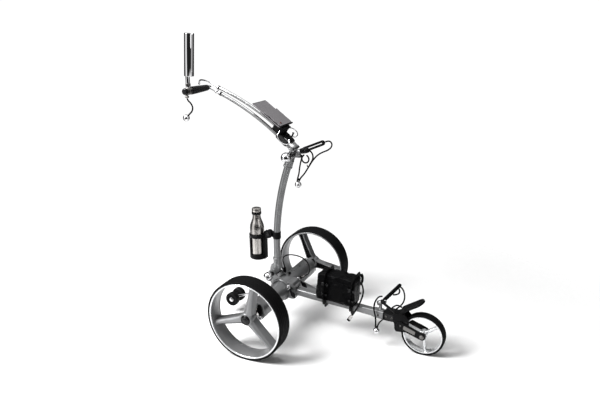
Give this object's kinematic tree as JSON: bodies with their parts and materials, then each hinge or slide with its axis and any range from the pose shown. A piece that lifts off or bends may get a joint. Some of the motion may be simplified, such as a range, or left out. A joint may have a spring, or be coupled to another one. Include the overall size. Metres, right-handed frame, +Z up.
{
  "type": "electric golf trolley",
  "caption": "Folding electric golf trolley with large drive wheels, small front wheel, battery bag, bag cradles, bottle cage and umbrella tube.",
  "frame": {"origin": "middle of the trolley's footprint, on the ground under the wheels", "axes": "+X forward towards the small front wheel, +Y to the left, +Z up"},
  "size_m": [1.0312, 0.6616, 1.1925],
  "materials": {
    "silver_frame": "satin silver-grey paint",
    "bright_alloy": "satin",
    "black_plastic": "fine texture",
    "gloss_black": "gloss",
    "tyre_rubber": "fine ribbed tread",
    "soft_rubber": "matte",
    "chrome": "polished",
    "steel": "brushed",
    "nylon": "woven nylon",
    "card_grey": "satin grey",
    "cell_case": "plain",
    "brass": "plated"
  },
  "bodies": {
    "chassis": {"main_beam": "silver_frame", "front_beam": "silver_frame", "axle_housing": "silver_frame", "wheel_bearings": "steel", "drive_units": "bright_alloy", "centre_bracket": "silver_frame", "motor_controller": "cell_case", "cable_sockets": "soft_rubber", "battery_pack": "cell_case", "battery_bag": "nylon", "anti_tip_rod": "bright_alloy", "front_bracket": "black_plastic", "chassis_screws": "steel", "fork": "black_plastic", "front_axle": "chrome", "bag_foot": "black_plastic", "support_post": "bright_alloy", "control_cable": "soft_rubber", "control_plug": "brass", "battery_lead": "soft_rubber", "battery_connector": "gloss_black"},
    "rear_wheel_right": {"rear_rim_right": "bright_alloy", "rear_tyre_right": "tyre_rubber", "hub_axle_right": "gloss_black"},
    "rear_wheel_left": {"rear_rim_left": "bright_alloy", "rear_tyre_left": "tyre_rubber", "hub_axle_left": "gloss_black"},
    "front_wheel": {"front_rim": "bright_alloy", "front_tyre": "tyre_rubber"},
    "anti_tip_wheel_right": {"anti_tip_wheel_right": "soft_rubber"},
    "anti_tip_wheel_left": {"anti_tip_wheel_left": "soft_rubber"},
    "hub_lever_right": {"hub_lever_right": "black_plastic"},
    "hub_lever_left": {"hub_lever_left": "black_plastic"},
    "clamp_levers": {"clamp_levers": "black_plastic"},
    "lower_knob": {"lower_knob": "chrome"},
    "lower_cradle": {"lower_cradle": "soft_rubber", "lower_bungee": "soft_rubber", "lower_bungee_ball": "chrome"},
    "upright": {"upright_tube": "silver_frame", "upright_foot": "silver_frame", "elbow_bracket": "silver_frame", "bottle_clamp": "black_plastic"},
    "upper_cradle": {"upper_cradle": "soft_rubber", "upper_bungee": "soft_rubber", "upper_bungee_ball": "chrome"},
    "elbow_knob": {"elbow_knob": "chrome"},
    "bottle_holder": {"bottle_basket": "black_plastic"},
    "bottle": {"bottle": "steel"},
    "bottle_cap": {"bottle_cap": "steel"},
    "handle": {"handle_frame": "silver_frame", "handle_rods": "chrome", "grip": "soft_rubber", "umbrella_clamp": "chrome", "card_base": "soft_rubber", "card_plate": "card_grey", "handle_bungee": "soft_rubber", "handle_bungee_ball": "chrome"},
    "umbrella_holder": {"umbrella_tube": "chrome"},
    "speed_dial": {"speed_dial": "gloss_black"},
    "card_clip": {"card_clip": "card_grey"}
  },
  "joints": [
    {"name": "rear_wheel_right_spin", "type": "hinge", "parent": "chassis", "child": "rear_wheel_right", "pos_m": [-0.16558, -0.296, 0.16], "axis": [0, 1, 0], "continuous": true},
    {"name": "rear_wheel_left_spin", "type": "hinge", "parent": "chassis", "child": "rear_wheel_left", "pos_m": [-0.16558, 0.296, 0.16], "axis": [0, 1, 0], "continuous": true},
    {"name": "front_wheel_spin", "type": "hinge", "parent": "chassis", "child": "front_wheel", "pos_m": [0.43202, 0, 0.0836], "axis": [0, 1, 0], "continuous": true},
    {"name": "anti_tip_right_spin", "type": "hinge", "parent": "chassis", "child": "anti_tip_wheel_right", "pos_m": [-0.40858, -0.026, 0.065], "axis": [0, 1, 0], "continuous": true},
    {"name": "anti_tip_left_spin", "type": "hinge", "parent": "chassis", "child": "anti_tip_wheel_left", "pos_m": [-0.40858, 0.026, 0.065], "axis": [0, 1, 0], "continuous": true},
    {"name": "hub_lever_right_turn", "type": "hinge", "parent": "chassis", "child": "hub_lever_right", "pos_m": [-0.14658, -0.244, 0.188], "axis": [0, 1, 0], "range_deg": [-40, 0]},
    {"name": "hub_lever_left_turn", "type": "hinge", "parent": "chassis", "child": "hub_lever_left", "pos_m": [-0.14658, 0.244, 0.188], "axis": [0, 1, 0], "range_deg": [-40, 0]},
    {"name": "clamp_levers_lift", "type": "hinge", "parent": "chassis", "child": "clamp_levers", "pos_m": [-0.12258, 0, 0.185], "axis": [0, 1, 0], "range_deg": [-100, 0]},
    {"name": "lower_knob_turn", "type": "hinge", "parent": "chassis", "child": "lower_knob", "pos_m": [-0.20758, 0, 0.224], "axis": [0, 1, 0], "continuous": true},
    {"name": "lower_cradle_swivel", "type": "hinge", "parent": "chassis", "child": "lower_cradle", "pos_m": [0.26372, 0, 0.1813], "axis": [0.8988, 0, 0.4384], "range_deg": [-39, 0]},
    {"name": "lower_fold", "type": "hinge", "parent": "chassis", "child": "upright", "pos_m": [-0.20758, 0, 0.224], "axis": [0, 1, 0], "range_deg": [0, 60]},
    {"name": "upper_cradle_swivel", "type": "hinge", "parent": "upright", "child": "upper_cradle", "pos_m": [-0.07938, 0, 0.7507], "axis": [0.9336, 0, 0.3584], "range_deg": [-20, 20]},
    {"name": "bottle_holder_tilt", "type": "hinge", "parent": "upright", "child": "bottle_holder", "pos_m": [-0.22958, 0, 0.389], "axis": [0, 1, 0], "range_deg": [-15, 20]},
    {"name": "bottle_lift", "type": "slide", "parent": "bottle_holder", "child": "bottle", "axis": [0, 0, 1], "range_m": [0, 0.1]},
    {"name": "bottle_cap_turn", "type": "hinge", "parent": "bottle", "child": "bottle_cap", "pos_m": [-0.28758, 0, 0.4738], "axis": [0, 0, 1], "continuous": true},
    {"name": "elbow_fold", "type": "hinge", "parent": "upright", "child": "handle", "pos_m": [-0.12058, 0, 0.731], "axis": [0, 1, 0], "range_deg": [-75, 8]},
    {"name": "elbow_knob_turn", "type": "hinge", "parent": "handle", "child": "elbow_knob", "pos_m": [-0.12058, 0, 0.731], "axis": [0, 1, 0], "continuous": true},
    {"name": "umbrella_tilt", "type": "hinge", "parent": "handle", "child": "umbrella_holder", "pos_m": [-0.46758, -0.161, 0.981], "axis": [0, 1, 0], "range_deg": [-40, 40]},
    {"name": "speed_dial_turn", "type": "hinge", "parent": "handle", "child": "speed_dial", "pos_m": [-0.46758, -0.186, 0.981], "axis": [0, 1, 0], "range_deg": [-150, 150]},
    {"name": "card_clip_lift", "type": "hinge", "parent": "handle", "child": "card_clip", "pos_m": [-0.14293, 0, 0.85097], "axis": [0, 1, 0], "range_deg": [0, 35]}
  ]
}
